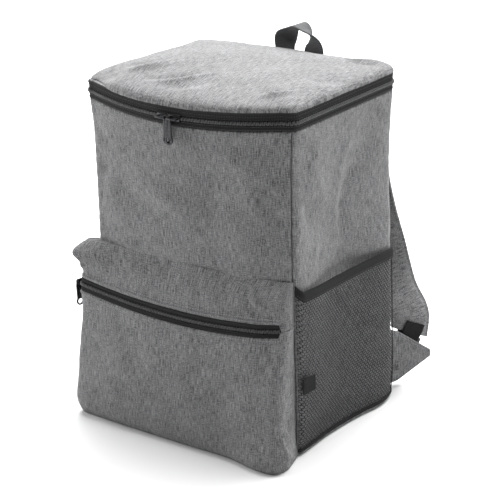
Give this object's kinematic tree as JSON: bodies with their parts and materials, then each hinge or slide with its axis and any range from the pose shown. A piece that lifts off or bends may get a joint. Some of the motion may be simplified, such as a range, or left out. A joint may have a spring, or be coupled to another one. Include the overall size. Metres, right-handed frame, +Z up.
{
  "type": "cooler backpack",
  "caption": "Box-shaped padded cooler backpack with a zipped lid, zipped front pocket, mesh side pockets, carry handle and padded shoulder straps.",
  "frame": {"origin": "middle of the base panel's under face, on the floor the bag stands on", "axes": "+X to the right as seen from the front, +Y to the back where the straps are, +Z up"},
  "size_m": [0.305, 0.2942, 0.4078],
  "materials": {
    "melange": "mid-grey melange woven polyester, matt",
    "black_trim": "black woven zip tape and binding",
    "tag": "blank black woven tag, folded",
    "coil": "black nylon zip coil, satin",
    "net": "black knitted mesh",
    "webbing": "dark grey woven webbing",
    "zip_metal": "dark nickel, worn at the edges",
    "buckle_plastic": "black moulded plastic, satin"
  },
  "bodies": {
    "bag": {"back_panel": "melange", "base_panel": "melange", "carry_handle": "webbing", "front_panel": "melange", "lid_panel": "melange", "main_slider_left": "zip_metal", "main_slider_right": "zip_metal", "main_zip_coil": "coil", "main_zip_tape_lower": "black_trim", "main_zip_tape_upper": "black_trim", "mesh_binding_left": "black_trim", "mesh_binding_right": "black_trim", "mesh_pocket_left": "net", "mesh_pocket_right": "net", "pocket_front_panel": "melange", "pocket_slider": "zip_metal", "pocket_top_panel": "melange", "pocket_zip_coil": "coil", "pocket_zip_tape_lower": "black_trim", "pocket_zip_tape_upper": "black_trim", "shoulder_strap_left": "melange", "shoulder_strap_right": "melange", "side_panel_left": "melange", "side_panel_right": "melange", "side_tag": "tag", "strap_buckle_left": "buckle_plastic", "strap_buckle_right": "buckle_plastic", "strap_link_left": "webbing", "strap_link_right": "webbing", "strap_tab_left": "melange", "strap_tab_right": "melange", "strap_webbing_left": "webbing", "strap_webbing_right": "webbing"},
    "lid_pull_left": {"main_pull_left": "zip_metal"},
    "lid_pull_right": {"main_pull_right": "zip_metal"},
    "front_pocket_pull": {"pocket_pull": "zip_metal"}
  },
  "joints": [
    {"name": "lid_pull_left_swing", "type": "hinge", "parent": "bag", "child": "lid_pull_left", "pos_m": [-0.00507, -0.1225, 0.35534], "axis": [-0.0283, -0.9996, 0], "range_deg": [-60, 15]},
    {"name": "lid_pull_right_swing", "type": "hinge", "parent": "bag", "child": "lid_pull_right", "pos_m": [-0.00097, -0.12254, 0.35531], "axis": [0.0117, -0.9999, 0], "range_deg": [-15, 60]},
    {"name": "pocket_pull_swing", "type": "hinge", "parent": "bag", "child": "front_pocket_pull", "pos_m": [-0.14204, -0.1171, 0.14879], "axis": [-0.9814, 0.1852, -0.0513], "range_deg": [-60, 60]}
  ]
}
